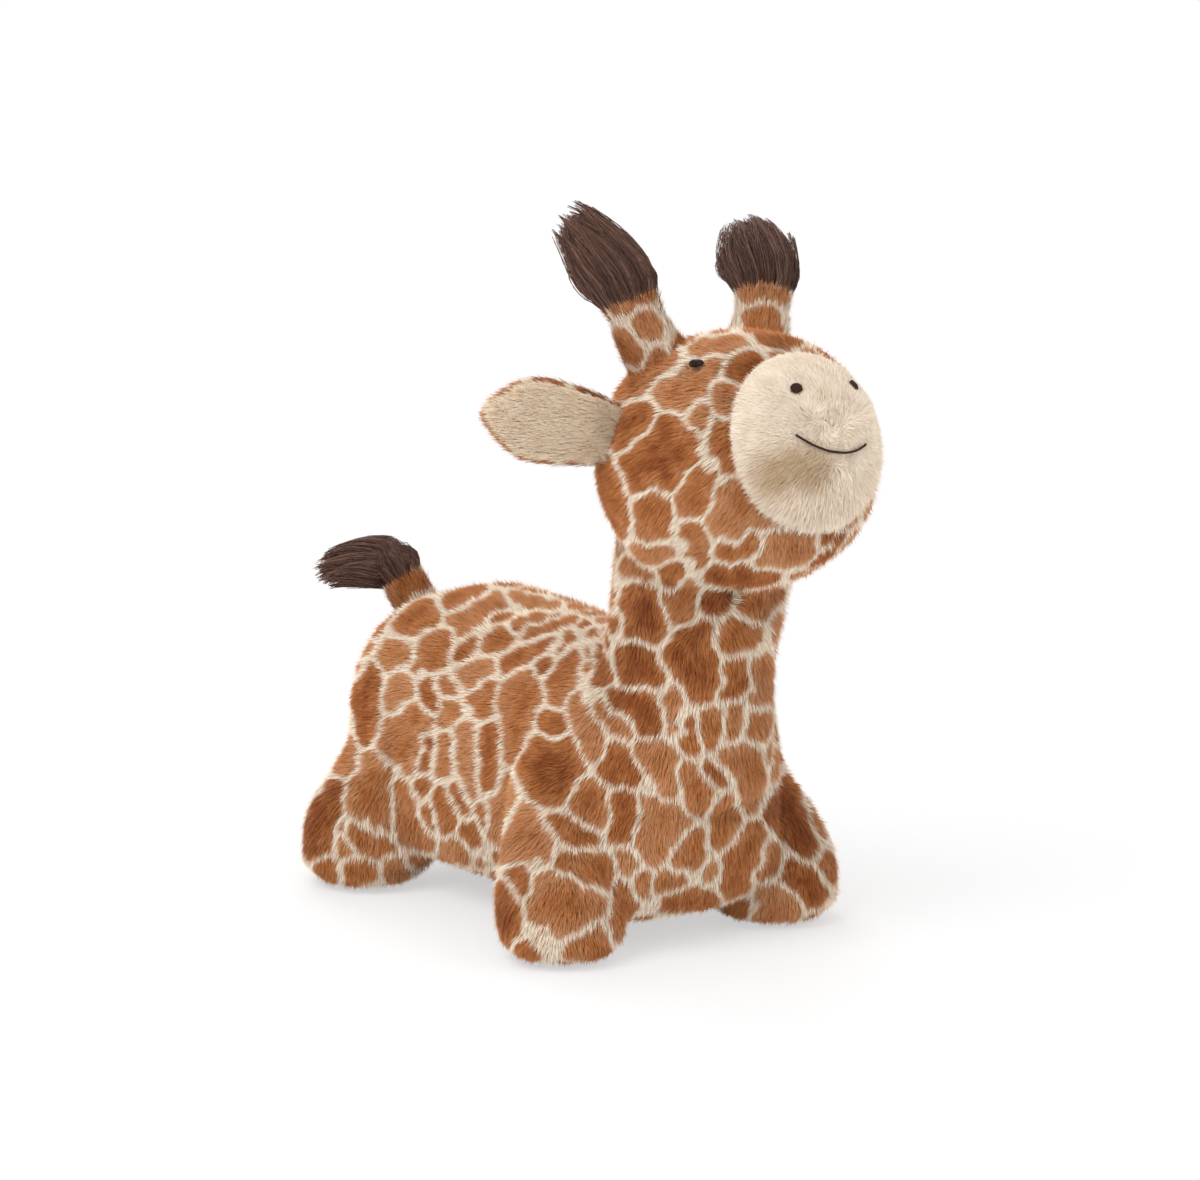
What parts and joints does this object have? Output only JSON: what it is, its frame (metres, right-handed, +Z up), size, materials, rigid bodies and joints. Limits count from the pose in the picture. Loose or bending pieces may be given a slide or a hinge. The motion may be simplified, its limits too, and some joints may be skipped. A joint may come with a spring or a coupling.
{
  "type": "bouncy ride-on animal",
  "caption": "Giraffe-shaped bouncy ride-on: an inflated body in a spotted plush cover, with stub legs, a beige muzzle, tufted horns to hold, soft ears and a tufted tail.",
  "frame": {"origin": "middle of the whole bounding box in plan, at the height of the soles", "axes": "+Z up; the animal faces -Y; its right side is -X and its left side +X"},
  "size_m": [0.3835, 0.7058, 0.6575],
  "materials": {
    "spotted_plush": "short plush in a brown and cream giraffe pattern",
    "beige_plush": "short beige plush",
    "dark_long_pile": "long dark brown pile",
    "bladder_vinyl": "soft vinyl, satin",
    "fibre_stuffing": "loose polyester fibre",
    "valve_plastic": "satin white",
    "eyelet_binding": "woven binding, brown",
    "zip_tape": "woven tape, brown",
    "zip_teeth": "moulded, brown",
    "zip_metal": "plated, satin",
    "eye_plastic": "polished black",
    "washer_plastic": "plain white",
    "thread": "dark brown embroidery thread"
  },
  "bodies": {
    "legs": {"front_right_leg_cover": "spotted_plush", "front_left_leg_cover": "spotted_plush", "rear_right_leg_cover": "spotted_plush", "rear_left_leg_cover": "spotted_plush"},
    "torso": {"trunk_cover": "spotted_plush", "neck_cover": "spotted_plush", "inflatable_body": "bladder_vinyl", "valve_seat": "valve_plastic", "valve_eyelet": "eyelet_binding", "zip_tape_right": "zip_tape", "zip_tape_left": "zip_tape", "zip_teeth_right": "zip_teeth", "zip_teeth_left": "zip_teeth", "zip_front_stop": "zip_metal", "zip_rear_stop": "zip_metal"},
    "head": {"head_cover": "spotted_plush", "muzzle_cover": "beige_plush", "eye_right": "eye_plastic", "eye_left": "eye_plastic", "eye_washer_right": "washer_plastic", "eye_washer_left": "washer_plastic", "nostril_right": "thread", "nostril_left": "thread", "mouth_stitching": "thread"},
    "ear_right": {"ear_back_right": "spotted_plush", "ear_lining_right": "beige_plush"},
    "ear_left": {"ear_back_left": "spotted_plush", "ear_lining_left": "beige_plush"},
    "horn_right": {"horn_right_sleeve": "spotted_plush", "horn_right_stuffing": "fibre_stuffing", "horn_right_tuft": "dark_long_pile"},
    "horn_left": {"horn_left_sleeve": "spotted_plush", "horn_left_stuffing": "fibre_stuffing", "horn_left_tuft": "dark_long_pile"},
    "tail": {"tail_sleeve": "spotted_plush", "tail_stuffing": "fibre_stuffing", "tail_tuft": "dark_long_pile"},
    "valve_plug": {"valve_plug": "valve_plastic"},
    "zip_slider": {"zip_slider": "zip_metal"},
    "zip_pull": {"zip_pull": "zip_metal"}
  },
  "joints": [
    {"name": "bounce", "type": "slide", "parent": "legs", "child": "torso", "axis": [0, 0, -1], "range_m": [0, 0.012], "stiffness_N_per_m": 6000, "springref_m": -0.003, "deforming": ["front_right_leg_cover", "front_left_leg_cover", "rear_right_leg_cover", "rear_left_leg_cover", "inflatable_body"]},
    {"name": "neck_lean", "type": "hinge", "parent": "torso", "child": "head", "pos_m": [-0.00475, -0.1337, 0.27], "axis": [1, 0, 0], "range_deg": [-8, 8], "stiffness_Nm_per_rad": 15, "springref_deg": -0.69, "deforming": ["neck_cover", "inflatable_body"]},
    {"name": "ear_right_flop", "type": "hinge", "parent": "head", "child": "ear_right", "pos_m": [-0.11128, -0.15673, 0.47707], "axis": [0.0655, -0.0008, 0.9979], "range_deg": [-25, 25], "stiffness_Nm_per_rad": 0.15},
    {"name": "ear_left_flop", "type": "hinge", "parent": "head", "child": "ear_left", "pos_m": [0.10684, -0.16195, 0.46274], "axis": [0.0655, -0.0008, 0.9979], "range_deg": [-25, 25], "stiffness_Nm_per_rad": 0.15},
    {"name": "horn_right_bend", "type": "hinge", "parent": "head", "child": "horn_right", "pos_m": [-0.05705, -0.13722, 0.55028], "axis": [1, 0, 0], "range_deg": [-25, 25], "stiffness_Nm_per_rad": 0.6},
    {"name": "horn_left_bend", "type": "hinge", "parent": "head", "child": "horn_left", "pos_m": [0.06364, -0.1401, 0.54235], "axis": [1, 0, 0], "range_deg": [-25, 25], "stiffness_Nm_per_rad": 0.6},
    {"name": "tail_wag", "type": "hinge", "parent": "torso", "child": "tail", "pos_m": [-0.00475, 0.27346, 0.20095], "axis": [0, 0, 1], "range_deg": [-84, 10], "stiffness_Nm_per_rad": 0.2},
    {"name": "valve_plug_pull", "type": "slide", "parent": "torso", "child": "valve_plug", "axis": [0, 0, -1], "range_m": [0, 0.018]},
    {"name": "zip_slide", "type": "slide", "parent": "torso", "child": "zip_slider", "axis": [0, 1, 0], "range_m": [0, 0.132]},
    {"name": "zip_pull_swing", "type": "hinge", "parent": "zip_slider", "child": "zip_pull", "pos_m": [-0.00475, 0.0391, 0.0251], "axis": [1, 0, 0], "range_deg": [-45, 45]}
  ]
}
